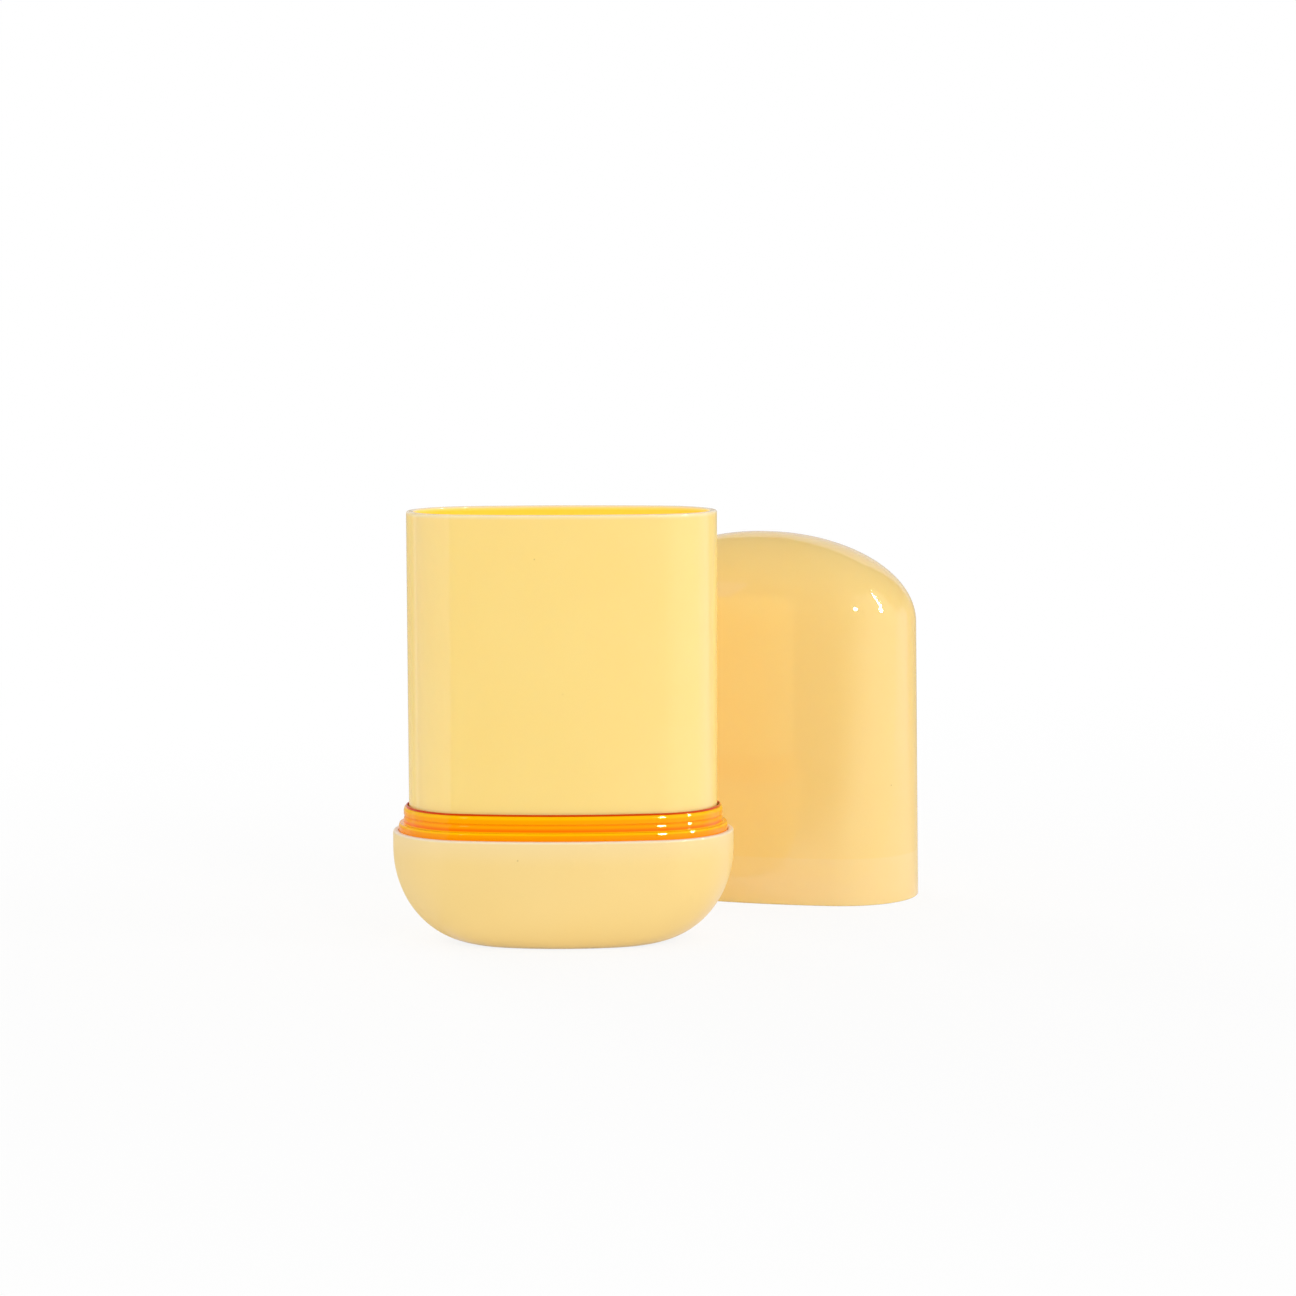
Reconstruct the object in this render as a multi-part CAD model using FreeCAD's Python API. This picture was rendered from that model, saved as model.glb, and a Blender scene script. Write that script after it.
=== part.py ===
import FreeCAD, Part
import math
import os

# Oval refillable twist-up stick case, drawn in millimetres.
# The origin is the centre of the base's underside, +Z is up, X runs along the width
# and -Y is the front. The cap stands beside the case on its own mouth.

Vector = FreeCAD.Vector
UP = Vector(0, 0, 1)

# ---- Overall sizes -------------------------------------------------------------------
SLEEVE_HALF_WIDTH = 28.6
SLEEVE_HALF_DEPTH = 14.3
SLEEVE_END_RADIUS = 12.8
SLEEVE_LENGTH = 66.6
SLEEVE_WALL = 1.3
RIM_ROUNDING = 0.35
BASE_HEIGHT = 20.7

# ---- Base shell ----------------------------------------------------------------------
BOWL_HEIGHT = 17.4
FOOT_INSET_WIDTH = 14.9
FOOT_INSET_DEPTH = 6.5
BASE_WALL = 1.6
BASE_LIP_WALL = 1.0
LIP_ROUNDING = 0.4
COLLAR_SEAT_DEPTH = 6.1
WEB_THICKNESS = 1.6
WELL_WALL = 1.2
POST_RADIUS = 2.6
POST_SPREAD_WIDTH = 18.5
POST_SPREAD_DEPTH = 5.6

# ---- Collar --------------------------------------------------------------------------
BAND_STEP = 1.0
FLANGE_STEP = 0.95
BAND_HEIGHT = 3.35
FLANGE_HEIGHT = 1.35
RIB_GROOVE_DEPTH = 0.25
RIB_GROOVE_HEIGHT = 0.3
RIB_GROOVE_DROP = 1.65
COLLAR_ROUNDING = 0.3

# ---- Chassis -------------------------------------------------------------------------
CHASSIS_HEIGHT = 11.6
CHASSIS_THICKNESS = 1.6
SPIGOT_WALL = 1.2
SPIGOT_HEIGHT = 3.0
PIN_RADIUS = 1.4
PIN_LENGTH = 5.0

# ---- Dial ----------------------------------------------------------------------------
DIAL_RADIUS = 9.0
DIAL_RECESS = 0.8
DIAL_THICKNESS = 2.8
DIAL_CHAMFER = 0.4
GRIP_BAR_WIDTH = 3.2
GRIP_DISH_DEPTH = 1.5
GRIP_DISH_RIM = 1.2
HUB_RADIUS = 4.0
DOG_FLATS = 4.4
DOG_HEIGHT = 2.6
DRAG_RING_RADIUS = 6.6
DRAG_RING_SECTION = 0.6
CLIP_THICKNESS = 0.8
CLIP_GROOVE_DEPTH = 0.8
CLIP_OVERLAP = 1.6
CLIP_OPENING = 60.0

# ---- Sleeve floor and spindle --------------------------------------------------------
SKIRT_HEIGHT = 3.8
SLEEVE_FLOOR = 1.4
SPINDLE_FLANGE_RADIUS = 5.2
SPINDLE_RADIUS = 3.2
SHOULDER_HEIGHT = 0.6
THREAD_DEPTH = 0.8
THREAD_LEAD = 5.0
THREAD_CREST = 1.0
THREAD_ROOT = 1.8
SPINDLE_DROP = 6.5

# ---- Elevator ------------------------------------------------------------------------
ELEVATOR_PLATE = 1.6
ELEVATOR_SKIRT_WALL = 1.0
ELEVATOR_SKIRT = 6.5
NUT_RADIUS = 5.4
ELEVATOR_RIB = 1.0
KEY_HOLE_RADIUS = 2.2
KEY_HOLE_SPREAD = 14.0

# ---- Cap -----------------------------------------------------------------------------
CAP_HEIGHT = 72.0
DOME_HEIGHT = 17.6
CAP_DRAFT = 0.65
CAP_WALL = 0.95
CAP_CROWN = 1.0
CAP_GRIP_HEIGHT = 9.0
CAP_LIP_ROUNDING = 0.25
CAP_PLACE_X = 38.85
CAP_PLACE_Y = 53.1
CAP_YAW = -19.2

# ---- Clearances ----------------------------------------------------------------------
FREE_GAP = 0.3
RUN_GAP = 0.05
SEAT_GAP = 0.05
THRUST_GAP = 0.1
SLIP_GAP = 0.1

# ---- How finely the rounded bowl and crown are drawn ---------------------------------
LOFT_STEPS = 9
CROWN_ANGLE = 87.0
EDGE_MATCH = 0.02

FULL_TURN = 360.0
QUARTER_TURN = math.pi / 2


class Oval:
    """A closed outline of four tangent arcs: two broad ones, front and back, and two ends."""

    def __init__(self, half_width, half_depth, end_radius):
        self.half_width = half_width
        self.half_depth = half_depth
        self.end_radius = end_radius

    def grown(self, by):
        return Oval(self.half_width + by, self.half_depth + by, self.end_radius + by)

    def scaled(self, by):
        return Oval(self.half_width * by, self.half_depth * by, self.end_radius * by)

    def inset(self, along_width, along_depth):
        """Draw the sides in unevenly, and keep the ends as round for their depth."""
        half_depth = self.half_depth - along_depth
        end_radius = self.end_radius * half_depth / self.half_depth
        return Oval(self.half_width - along_width, half_depth, end_radius)

    def wire(self, z):
        run = self.half_width - self.end_radius
        rise = self.half_depth - self.end_radius
        broad = (run ** 2 + self.half_depth ** 2 - self.end_radius ** 2) / (2 * rise)
        join_x = broad * run / (broad - self.end_radius)
        join_y = (broad - self.half_depth) * self.end_radius / (broad - self.end_radius)
        back_left, back_right = Vector(-join_x, join_y, z), Vector(join_x, join_y, z)
        front_left, front_right = Vector(-join_x, -join_y, z), Vector(join_x, -join_y, z)
        arcs = [
            Part.Arc(back_left, Vector(0, self.half_depth, z), back_right),
            Part.Arc(back_right, Vector(self.half_width, 0, z), front_right),
            Part.Arc(front_right, Vector(0, -self.half_depth, z), front_left),
            Part.Arc(front_left, Vector(-self.half_width, 0, z), back_left),
        ]
        return Part.Wire([arc.toShape() for arc in arcs])


def prism(oval, bottom, top):
    return Part.Face(oval.wire(bottom)).extrude(Vector(0, 0, top - bottom))


def taper(low_oval, bottom, high_oval, top):
    return Part.makeLoft([low_oval.wire(bottom), high_oval.wire(top)], True, True)


def rod(radius, bottom, top, x=0.0, y=0.0):
    return Part.makeCylinder(radius, top - bottom, Vector(x, y, bottom), UP)


def tube(outer, inner, bottom, top):
    return rod(outer, bottom, top).cut(rod(inner, bottom, top))


def hexagon(flats, bottom, top):
    corner = flats / 2 / math.cos(math.pi / 6)
    angles = [math.pi / 3 * i for i in range(7)]
    points = [Vector(corner * math.cos(a), corner * math.sin(a), bottom) for a in angles]
    return Part.Face(Part.makePolygon(points)).extrude(Vector(0, 0, top - bottom))


def edge_middle(edge):
    return edge.valueAt((edge.FirstParameter + edge.LastParameter) / 2)


def rounded(solid, radius, oval, height):
    """Round the edges that run along an oval at a height."""
    outline = oval.wire(height)
    edges = []
    for edge in solid.Edges:
        if Part.Vertex(edge_middle(edge)).distToShape(outline)[0] < EDGE_MATCH:
            edges.append(edge)
    return solid.makeFillet(radius, edges)


# ---- Sections and levels that the pieces share ---------------------------------------
sleeve_outer = Oval(SLEEVE_HALF_WIDTH, SLEEVE_HALF_DEPTH, SLEEVE_END_RADIUS)
sleeve_inner = sleeve_outer.grown(-SLEEVE_WALL)
socket_oval = sleeve_outer.grown(FREE_GAP)
band_oval = sleeve_outer.grown(BAND_STEP)
flange_oval = band_oval.grown(FLANGE_STEP)
seat_oval = flange_oval.grown(SEAT_GAP)
base_outer = seat_oval.grown(BASE_LIP_WALL)
base_inner = base_outer.grown(-BASE_WALL)

flange_top = BASE_HEIGHT + FLANGE_HEIGHT
band_top = flange_top + BAND_HEIGHT
collar_seat = BASE_HEIGHT - COLLAR_SEAT_DEPTH

dial_top = DIAL_RECESS + DIAL_THICKNESS
web_bottom = dial_top + DRAG_RING_SECTION + THRUST_GAP
web_top = web_bottom + WEB_THICKNESS
well_radius = DIAL_RADIUS + FREE_GAP
chassis_top = CHASSIS_HEIGHT + CHASSIS_THICKNESS

sleeve_bottom = chassis_top
sleeve_top = sleeve_bottom + SLEEVE_LENGTH
floor_bottom = sleeve_bottom + SKIRT_HEIGHT
floor_top = floor_bottom + SLEEVE_FLOOR

hub_top = chassis_top - THRUST_GAP
dog_top = hub_top + DOG_HEIGHT
spindle_bottom = chassis_top + FREE_GAP
spindle_top = sleeve_top - SPINDLE_DROP
spindle_clip_bottom = floor_top + THRUST_GAP
spindle_clip_top = spindle_clip_bottom + CLIP_THICKNESS
core_radius = SPINDLE_RADIUS - THREAD_DEPTH

elevator_bottom = floor_top + FREE_GAP
plate_bottom = elevator_bottom + ELEVATOR_SKIRT
plate_top = plate_bottom + ELEVATOR_PLATE
shoulder_top = spindle_clip_top + SEAT_GAP + SHOULDER_HEIGHT
nut_bottom = shoulder_top + FREE_GAP
thread_start = shoulder_top + THREAD_ROOT / 2


def bowl_oval(top_oval, share):
    """The bowl's outline at a share of its quarter turn, from the foot to the side wall."""
    drawn_in = 1 - math.sin(QUARTER_TURN * share)
    return top_oval.inset(FOOT_INSET_WIDTH * drawn_in, FOOT_INSET_DEPTH * drawn_in)


def bowl_share(z, foot):
    """How far round its quarter turn the bowl has come at a height."""
    climbed = (z - foot) / (BOWL_HEIGHT - foot)
    return math.acos(1 - climbed) / QUARTER_TURN


def bowl(top_oval, foot, top):
    """A rounded bowl from its flat foot to the side wall, and the straight wall above."""
    wires = []
    for i in range(LOFT_STEPS + 1):
        share = i / LOFT_STEPS
        height = foot + (BOWL_HEIGHT - foot) * (1 - math.cos(QUARTER_TURN * share))
        wires.append(bowl_oval(top_oval, share).wire(height))
    return Part.makeLoft(wires, True, False).fuse(prism(top_oval, BOWL_HEIGHT, top))


def post_places():
    for side in (-1, 1):
        for end in (-1, 1):
            yield side * POST_SPREAD_WIDTH, end * POST_SPREAD_DEPTH


def make_base_shell():
    """The bowl-shaped base, with the dial's well, the bearing web and the chassis posts."""
    outer = bowl(base_outer, 0, BASE_HEIGHT)
    outer = rounded(outer, LIP_ROUNDING, base_outer, BASE_HEIGHT)
    cavity = bowl(base_inner, BASE_WALL, BASE_HEIGHT)
    inside = rod(well_radius + WELL_WALL, 0, web_top)
    for x, y in post_places():
        inside = inside.fuse(rod(POST_RADIUS, 0, CHASSIS_HEIGHT, x, y))
    shell = outer.cut(cavity.cut(inside))
    shell = shell.cut(prism(seat_oval, collar_seat, BASE_HEIGHT))
    shell = shell.cut(rod(well_radius, 0, web_bottom))
    shell = shell.cut(rod(HUB_RADIUS + RUN_GAP, web_bottom, web_top))
    for x, y in post_places():
        hole_floor = CHASSIS_HEIGHT - PIN_LENGTH - FREE_GAP
        shell = shell.cut(rod(PIN_RADIUS + SEAT_GAP, hole_floor, CHASSIS_HEIGHT, x, y))
    return shell


def make_chassis():
    """The plate that the sleeve stands on, with a spigot inside the sleeve's skirt."""
    narrowest = bowl_oval(base_inner, bowl_share(CHASSIS_HEIGHT, BASE_WALL))
    plate = prism(narrowest.grown(-SLIP_GAP), CHASSIS_HEIGHT, chassis_top)
    spigot_outer = sleeve_inner.grown(-FREE_GAP)
    spigot_top = chassis_top + SPIGOT_HEIGHT
    spigot = prism(spigot_outer, CHASSIS_HEIGHT, spigot_top)
    spigot = spigot.cut(prism(spigot_outer.grown(-SPIGOT_WALL), chassis_top, spigot_top))
    chassis = plate.fuse(spigot)
    for x, y in post_places():
        chassis = chassis.fuse(rod(PIN_RADIUS, CHASSIS_HEIGHT - PIN_LENGTH, chassis_top, x, y))
    return chassis.cut(rod(HUB_RADIUS + FREE_GAP, CHASSIS_HEIGHT, chassis_top))


def make_collar():
    """The stepped ring between the base and the sleeve, which the cap grips."""
    collar = prism(flange_oval, collar_seat, flange_top)
    collar = rounded(collar, COLLAR_ROUNDING, flange_oval, flange_top)
    groove_top = band_top - RIB_GROOVE_DROP
    groove_bottom = groove_top - RIB_GROOVE_HEIGHT
    lower_rib = prism(band_oval, collar_seat, groove_bottom)
    lower_rib = rounded(lower_rib, COLLAR_ROUNDING, band_oval, groove_bottom)
    upper_rib = prism(band_oval, groove_top, band_top)
    upper_rib = rounded(upper_rib, COLLAR_ROUNDING, band_oval, band_top)
    neck = prism(band_oval.grown(-RIB_GROOVE_DEPTH), collar_seat, groove_top)
    collar = collar.fuse(lower_rib).fuse(neck).fuse(upper_rib)
    return collar.cut(prism(socket_oval, collar_seat, band_top))


def make_dial():
    """The finger dial under the base, with its hub and the six-sided drive dog."""
    disc = rod(DIAL_RADIUS, DIAL_RECESS, dial_top)
    rims = [edge for edge in disc.Edges if isinstance(edge.Curve, Part.Circle)]
    disc = disc.makeChamfer(DIAL_CHAMFER, rims)
    dish = rod(DIAL_RADIUS - GRIP_DISH_RIM, DIAL_RECESS, DIAL_RECESS + GRIP_DISH_DEPTH)
    bar = Part.makeBox(2 * DIAL_RADIUS, GRIP_BAR_WIDTH, GRIP_DISH_DEPTH,
                       Vector(-DIAL_RADIUS, -GRIP_BAR_WIDTH / 2, DIAL_RECESS))
    disc = disc.cut(dish.cut(bar))
    groove_reach = DRAG_RING_SECTION + SEAT_GAP
    groove = tube(DRAG_RING_RADIUS + groove_reach, DRAG_RING_RADIUS - groove_reach,
                  dial_top - DRAG_RING_SECTION, dial_top)
    dial = disc.cut(groove).fuse(rod(HUB_RADIUS, DIAL_RECESS + GRIP_DISH_DEPTH, hub_top))
    clip_bottom = web_top + THRUST_GAP
    clip_slot = tube(HUB_RADIUS, HUB_RADIUS - CLIP_GROOVE_DEPTH,
                     clip_bottom - SEAT_GAP, clip_bottom + CLIP_THICKNESS + SEAT_GAP)
    return dial.cut(clip_slot).fuse(hexagon(DOG_FLATS, hub_top, dog_top))


def make_drag_ring():
    """The soft ring in the dial's groove that keeps the dial from turning by itself."""
    centre = Vector(0, 0, dial_top)
    return Part.makeTorus(DRAG_RING_RADIUS, DRAG_RING_SECTION, centre, UP)


def make_clip(shaft_radius, bottom):
    """A split snap ring that sits in a shaft's groove."""
    inner = shaft_radius - CLIP_GROOVE_DEPTH + SEAT_GAP
    outer = shaft_radius + CLIP_OVERLAP
    sweep = FULL_TURN - CLIP_OPENING
    ring = Part.makeCylinder(outer, CLIP_THICKNESS, Vector(0, 0, bottom), UP, sweep)
    return ring.cut(rod(inner, bottom, bottom + CLIP_THICKNESS))


def make_sleeve():
    """The open oval sleeve that holds the refill, with its floor and lower skirt."""
    sleeve = prism(sleeve_outer, sleeve_bottom, sleeve_top)
    sleeve = sleeve.cut(prism(sleeve_inner, floor_top, sleeve_top))
    sleeve = sleeve.cut(prism(sleeve_inner, sleeve_bottom, floor_bottom))
    sleeve = rounded(sleeve, RIM_ROUNDING, sleeve_outer, sleeve_top)
    sleeve = rounded(sleeve, RIM_ROUNDING, sleeve_inner, sleeve_top)
    return sleeve.cut(rod(SPINDLE_RADIUS + RUN_GAP, floor_bottom, floor_top))


def thread_ridge(start, length, radius, crest, root, depth):
    """One left-hand trapezoidal ridge that winds up a core of the given radius."""
    helix = Part.makeLongHelix(THREAD_LEAD, length, radius, 0, True)
    helix.translate(Vector(0, 0, start))
    corners = [(0, -root / 2), (depth, -crest / 2), (depth, crest / 2), (0, root / 2)]
    points = [Vector(radius + out, 0, start + up) for out, up in corners]
    outline = Part.makePolygon(points + points[:1])
    return Part.Wire(helix.Edges).makePipeShell([outline], True, True)


def make_spindle():
    """The lead screw, with the drive socket below the sleeve's floor."""
    flange = rod(SPINDLE_FLANGE_RADIUS, spindle_bottom, floor_bottom - THRUST_GAP)
    shaft = flange.fuse(rod(SPINDLE_RADIUS, spindle_bottom, shoulder_top))
    shaft = shaft.fuse(rod(core_radius, spindle_bottom, spindle_top))
    socket_top = dog_top + FREE_GAP
    shaft = shaft.cut(hexagon(DOG_FLATS + 2 * FREE_GAP, spindle_bottom, socket_top))
    shaft = shaft.cut(tube(SPINDLE_RADIUS, SPINDLE_RADIUS - CLIP_GROOVE_DEPTH,
                           spindle_clip_bottom - SEAT_GAP, spindle_clip_top + SEAT_GAP))
    ridge = thread_ridge(thread_start, spindle_top - THREAD_ROOT - thread_start,
                         core_radius - SEAT_GAP, THREAD_CREST, THREAD_ROOT,
                         THREAD_DEPTH + SEAT_GAP)
    return shaft.fuse(ridge)


def make_elevator():
    """The platform that carries the refill up the sleeve, with its nut below."""
    outline = sleeve_inner.grown(-FREE_GAP)
    platform = prism(outline, elevator_bottom, plate_top)
    hollow = prism(outline.grown(-ELEVATOR_SKIRT_WALL), elevator_bottom, plate_bottom)
    ribs = Part.makeBox(2 * SLEEVE_HALF_WIDTH, ELEVATOR_RIB, plate_bottom - nut_bottom,
                        Vector(-SLEEVE_HALF_WIDTH, -ELEVATOR_RIB / 2, nut_bottom))
    core = rod(NUT_RADIUS, nut_bottom, plate_bottom).fuse(ribs)
    platform = platform.cut(hollow.cut(core))
    platform = platform.cut(rod(core_radius + FREE_GAP, nut_bottom, plate_top))
    tool_start = thread_start - THREAD_LEAD
    tool_length = plate_top + THREAD_LEAD - tool_start
    tool = thread_ridge(tool_start, tool_length, core_radius, THREAD_CREST + 2 * FREE_GAP,
                        THREAD_ROOT + 2 * FREE_GAP, THREAD_DEPTH + FREE_GAP)
    platform = platform.cut(tool)
    for side in (-1, 1):
        for end in (-1, 1):
            hole = rod(KEY_HOLE_RADIUS, plate_bottom, plate_top,
                       side * KEY_HOLE_SPREAD, end * SLEEVE_HALF_DEPTH / 2)
            platform = platform.cut(hole)
    return platform


def dome(low_oval, bottom, height):
    """A rounded crown on an oval: each outline shrinks as the height nears the top."""
    wires = []
    for i in range(LOFT_STEPS + 1):
        angle = math.radians(CROWN_ANGLE * i / LOFT_STEPS)
        wires.append(low_oval.scaled(math.cos(angle)).wire(bottom + height * math.sin(angle)))
    return Part.makeLoft(wires, True, False)


def make_cap():
    """The domed cap, drawn on its mouth, with a thicker grip band above the thin lip."""
    shoulder = CAP_HEIGHT - DOME_HEIGHT
    high_oval = base_outer.grown(-CAP_DRAFT)
    wall = taper(base_outer, 0, high_oval, shoulder)
    wall = rounded(wall, CAP_LIP_ROUNDING, base_outer, 0)
    shell = wall.fuse(dome(high_oval, shoulder, DOME_HEIGHT))
    inner_low = base_outer.grown(-CAP_WALL)
    inner_high = high_oval.grown(-CAP_WALL)
    cavity = taper(inner_low, 0, inner_high, shoulder)
    cavity = cavity.fuse(dome(inner_high, shoulder, DOME_HEIGHT - CAP_CROWN))
    lip_height = FLANGE_HEIGHT + FREE_GAP
    grip = prism(base_outer, lip_height, CAP_GRIP_HEIGHT)
    grip = grip.cut(prism(band_oval.grown(SLIP_GAP), lip_height, CAP_GRIP_HEIGHT))
    mouth = prism(flange_oval.grown(SLIP_GAP), 0, lip_height)
    return shell.cut(cavity.cut(grip)).cut(mouth)


def place_cap(cap):
    cap.rotate(Vector(0, 0, 0), UP, CAP_YAW)
    cap.translate(Vector(CAP_PLACE_X, CAP_PLACE_Y, 0))
    return cap


def main():
    os.makedirs("parts", exist_ok=True)
    pieces = {
        "base_shell": make_base_shell(),
        "chassis": make_chassis(),
        "collar": make_collar(),
        "dial": make_dial(),
        "drag_ring": make_drag_ring(),
        "dial_clip": make_clip(HUB_RADIUS, web_top + THRUST_GAP),
        "sleeve": make_sleeve(),
        "spindle": make_spindle(),
        "spindle_clip": make_clip(SPINDLE_RADIUS, spindle_clip_bottom),
        "elevator": make_elevator(),
        "cap": place_cap(make_cap()),
    }
    for name, shape in pieces.items():
        shape.exportStep("parts/" + name + ".step")


main()
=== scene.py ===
"""The finished surfaces of an oval twist-up stick case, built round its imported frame.

Every visible shell is a section turned round an oval: the outline is four tangent arcs, and
each point of a section says how wide, how deep, how round-ended and how high the oval is there.
"""
import math
from collections import namedtuple

import bpy
from bpy.props import FloatProperty, FloatVectorProperty, IntProperty, PointerProperty
from mathutils import Matrix, Vector


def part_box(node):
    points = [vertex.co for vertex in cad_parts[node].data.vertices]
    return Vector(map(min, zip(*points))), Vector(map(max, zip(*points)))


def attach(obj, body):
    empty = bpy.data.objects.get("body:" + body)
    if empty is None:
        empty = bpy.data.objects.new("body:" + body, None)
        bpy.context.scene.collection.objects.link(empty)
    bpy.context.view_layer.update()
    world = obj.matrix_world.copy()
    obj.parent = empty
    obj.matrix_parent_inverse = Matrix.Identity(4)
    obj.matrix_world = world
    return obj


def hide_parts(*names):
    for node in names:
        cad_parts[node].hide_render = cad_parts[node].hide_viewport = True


bl_info = {
    "name": "Oval Stick Case",
    "version": (1, 0, 0),
    "blender": (4, 5, 0),
    "location": "View3D > Sidebar > Stick Case",
    "description": "Builds the finished shells, plastics and studio of an oval twist-up stick case",
    "category": "Object",
}

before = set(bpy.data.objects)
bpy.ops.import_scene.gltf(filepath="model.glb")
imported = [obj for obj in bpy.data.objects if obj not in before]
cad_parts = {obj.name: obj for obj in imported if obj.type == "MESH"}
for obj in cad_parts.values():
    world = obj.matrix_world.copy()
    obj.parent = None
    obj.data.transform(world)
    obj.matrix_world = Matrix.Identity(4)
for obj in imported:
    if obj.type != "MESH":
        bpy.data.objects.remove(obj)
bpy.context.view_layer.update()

MM = 0.001
QUARTER_TURN = math.pi / 2
WELD = 0.001 * MM


def half_sizes(node):
    low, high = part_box(node)
    return (high[0] - low[0]) / 2, (high[1] - low[1]) / 2


def middle_of(node):
    low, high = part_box(node)
    return (Vector(low) + Vector(high)) / 2


def placed(name, data):
    """A new object in the scene, at the origin."""
    thing = bpy.data.objects.new(name, data)
    bpy.context.scene.collection.objects.link(thing)
    return thing


# ---- Sizes that a user may change ----------------------------------------------------


def length(name, description, default):
    return FloatProperty(name=name, description=description, default=default,
                         min=0.0, subtype="DISTANCE", unit="LENGTH", precision=5)


def colour(name, description, default):
    return FloatVectorProperty(name=name, description=description, default=default,
                               min=0.0, max=1.0, size=3, subtype="COLOR")


def strength(name, description, default, least=0.0):
    return FloatProperty(name=name, description=description, default=default, min=least)


def count(name, description, default, least):
    return IntProperty(name=name, description=description, default=default, min=least)


class StickCaseSleeveSizes(bpy.types.PropertyGroup):
    """The open oval sleeve."""

    end_radius: length("End radius", "Radius of the sleeve's two rounded ends", 12.8 * MM)
    wall: length("Wall", "Thickness of the sleeve's wall", 1.3 * MM)
    rim_rounding: length("Rim rounding", "Rounding of the open rim", 0.4 * MM)
    corner_rounding: length("Corner rounding", "Rounding of the moulded corners", 0.15 * MM)
    skirt_height: length("Skirt height", "Wall below the sleeve's floor", 3.8 * MM)
    floor: length("Floor", "Thickness of the sleeve's floor", 1.4 * MM)
    spindle_hole: length("Spindle hole", "Radius of the hole for the spindle", 3.25 * MM)


class StickCaseCollarSizes(bpy.types.PropertyGroup):
    """The stepped orange ring."""

    clearance: length("Clearance", "Gap between the collar and the sleeve", 0.3 * MM)
    flange_step: length("Flange step", "How far the flange stands out past the ribs", 0.95 * MM)
    top_drop: length("Top drop", "How far the ribs stop below the full height", 0.4 * MM)
    lip_height: length("Lip height", "Height of the thin inner lip above the ribs", 0.36 * MM)
    lip_wall: length("Lip wall", "Thickness of the thin inner lip", 0.25 * MM)
    upper_rib: length("Upper rib", "Height of the upper rib", 1.4 * MM)
    lower_rib: length("Lower rib", "Height of the lower rib", 1.35 * MM)
    groove_height: length("Groove height", "Height of the groove between the ribs", 0.2 * MM)
    groove_depth: length("Groove depth", "Depth of the groove between the ribs", 0.2 * MM)
    crown_height: length("Crown height", "How far down each rib's face starts to draw in",
                         0.5 * MM)
    crown_inset: length("Crown inset", "How far each rib's face draws in at its top", 0.166 * MM)
    crown_rounding: length("Crown rounding", "Rounding where a rib's face draws in", 0.8 * MM)
    corner_rounding: length("Corner rounding", "Rounding of the inner corners", 0.08 * MM)


class StickCaseBaseSizes(bpy.types.PropertyGroup):
    """The bowl-shaped base with the dial's well and the chassis posts."""

    bowl_height: length("Bowl height", "Height of the rounded bowl", 17.4 * MM)
    foot_inset_width: length("Foot inset, width", "How far the foot draws in at each side",
                             14.9 * MM)
    foot_inset_depth: length("Foot inset, depth", "How far the foot draws in at the front and back",
                             6.5 * MM)
    wall: length("Wall", "Thickness of the bowl's wall", 1.6 * MM)
    lip_wall: length("Lip wall", "Thickness of the lip round the collar", 1.0 * MM)
    lip_rounding: length("Lip rounding", "Rounding of the lip's outer edge", 0.4 * MM)
    corner_rounding: length("Corner rounding", "Rounding of the moulded corners", 0.15 * MM)
    well_radius: length("Well radius", "Radius of the dial's well", 9.3 * MM)
    well_wall: length("Well wall", "Wall round the dial's well", 1.2 * MM)
    web_bottom: length("Web bottom", "Height of the underside of the bearing web", 4.3 * MM)
    web_top: length("Web top", "Height of the top of the bearing web", 5.9 * MM)
    hub_hole: length("Hub hole", "Radius of the hole for the dial's hub", 4.05 * MM)
    post_radius: length("Post radius", "Radius of each chassis post", 2.6 * MM)
    post_hole: length("Post hole", "Radius of the hole in each chassis post", 1.45 * MM)
    post_hole_depth: length("Post hole depth", "Depth of the hole in each post", 5.3 * MM)
    pin_clearance: length("Pin clearance", "Room below each of the chassis's pins", 0.3 * MM)
    post_foot: length("Post foot", "Height below which a post meets the bowl's floor", 5 * MM)
    post_sink: length("Post sink", "How far each post is sunk into the bowl's floor", 0.3 * MM)
    post_spread_width: length("Post spread, width", "Posts' distance from the middle", 18.5 * MM)
    post_spread_depth: length("Post spread, depth", "Posts' distance from the middle", 5.6 * MM)


class StickCaseCapSizes(bpy.types.PropertyGroup):
    """The tall domed cap, which stands beside the case."""

    yaw: FloatProperty(name="Yaw", description="How far the cap is turned beside the case",
                       default=math.radians(-19.2), subtype="ANGLE", unit="ROTATION")
    dome_height: length("Dome height", "Height of the rounded crown", 17.6 * MM)
    draft: length("Draft", "How far the wall draws in from the mouth to the crown", 0.65 * MM)
    wall: length("Wall", "Thickness of the cap's wall", 0.95 * MM)
    crown: length("Crown", "Thickness of the cap's wall at the crown", 1.0 * MM)
    grip_height: length("Grip height", "Top of the thicker band that grips the collar", 9.0 * MM)
    grip_wall: length("Grip wall", "Thickness of the grip band and wall together", 1.9 * MM)
    mouth_height: length("Mouth height", "Height of the thin lip below the grip band", 1.65 * MM)
    lip_rounding: length("Lip rounding", "Rounding of the lip's outer edge", 0.25 * MM)
    corner_rounding: length("Corner rounding", "Rounding of the moulded corners", 0.15 * MM)


class StickCaseFineness(bpy.types.PropertyGroup):
    """How finely the shells are drawn."""

    end_columns: count("End columns", "Columns of faces round each rounded end", 48, least=4)
    side_columns: count("Side columns", "Columns of faces along the front and the back", 24,
                        least=4)
    bend_rows: count("Bend rows", "Rows of faces round each rounded corner", 6, least=2)
    crown_rows: count("Crown rows", "Rows of faces up the bowl and the dome", 36, least=6)
    hold: length("Hold", "Distance from a rounding to the row that keeps the wall flat", 0.2 * MM)


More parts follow.
